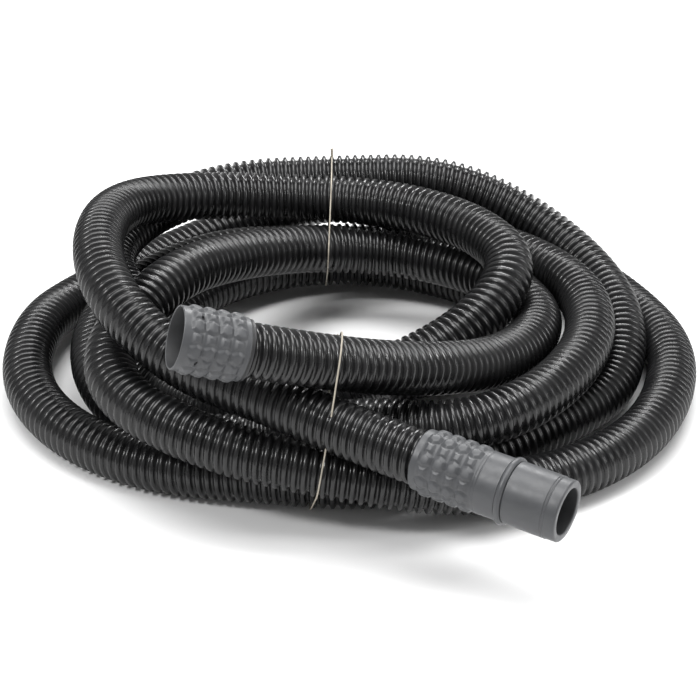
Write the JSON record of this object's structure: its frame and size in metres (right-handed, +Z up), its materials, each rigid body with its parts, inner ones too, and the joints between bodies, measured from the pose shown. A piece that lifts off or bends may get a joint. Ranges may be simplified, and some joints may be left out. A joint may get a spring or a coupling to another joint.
{
  "type": "vacuum hose",
  "caption": "Long ribbed flexible vacuum hose laid in a loose coil, with a swivelling socket cuff on one end and a swivelling machine spigot on the other.",
  "frame": {"origin": "on the floor, under the middle of the coiled hose's box", "axes": "+Z up from the floor the hose lies on, -Y towards the side where both cuffs lie, +X towards the side the machine end points to"},
  "size_m": [0.5608, 0.5899, 0.1884],
  "materials": {
    "hose_plastic": "semi-gloss black, moulded ribs",
    "cuff_plastic": "satin mid grey, moulded",
    "collar_plastic": "satin black",
    "seal_rubber": "dull black rubber",
    "spring_steel": "bare spring steel",
    "tie_wire": "pale coated wire"
  },
  "bodies": {
    "coil": {"hose_01": "hose_plastic", "hose_02": "hose_plastic", "hose_03": "hose_plastic", "hose_04": "hose_plastic", "hose_05": "hose_plastic", "hose_06": "hose_plastic", "hose_07": "hose_plastic", "hose_08": "hose_plastic", "hose_09": "hose_plastic", "hose_10": "hose_plastic", "hose_11": "hose_plastic", "hose_12": "hose_plastic", "hose_13": "hose_plastic", "hose_14": "hose_plastic", "hose_15": "hose_plastic", "hose_16": "hose_plastic", "hose_17": "hose_plastic", "hose_18": "hose_plastic", "hose_19": "hose_plastic", "hose_20": "hose_plastic", "hose_21": "hose_plastic", "hose_22": "hose_plastic", "hose_23": "hose_plastic", "hose_24": "hose_plastic", "hose_25": "hose_plastic", "hose_26": "hose_plastic", "hose_27": "hose_plastic", "hose_28": "hose_plastic", "collar_a": "collar_plastic", "seal_washer_a": "seal_rubber", "spring_clip_a": "spring_steel", "collar_b": "collar_plastic", "front_tie": "tie_wire", "rear_tie": "tie_wire"},
    "socket_end": {"grip_cuff_a": "cuff_plastic"},
    "machine_end": {"grip_cuff_b": "cuff_plastic", "machine_spigot": "cuff_plastic", "spigot_bead": "seal_rubber", "seal_washer_b": "seal_rubber"}
  },
  "joints": [
    {"name": "socket_swivel", "type": "hinge", "parent": "coil", "child": "socket_end", "pos_m": [-0.07413, -0.18694, 0.15171], "axis": [-0.9291, -0.202, 0.3097], "continuous": true},
    {"name": "machine_swivel", "type": "hinge", "parent": "coil", "child": "machine_end", "pos_m": [0.05006, -0.22106, 0.08396], "axis": [0.8648, -0.4979, -0.0655], "continuous": true}
  ]
}
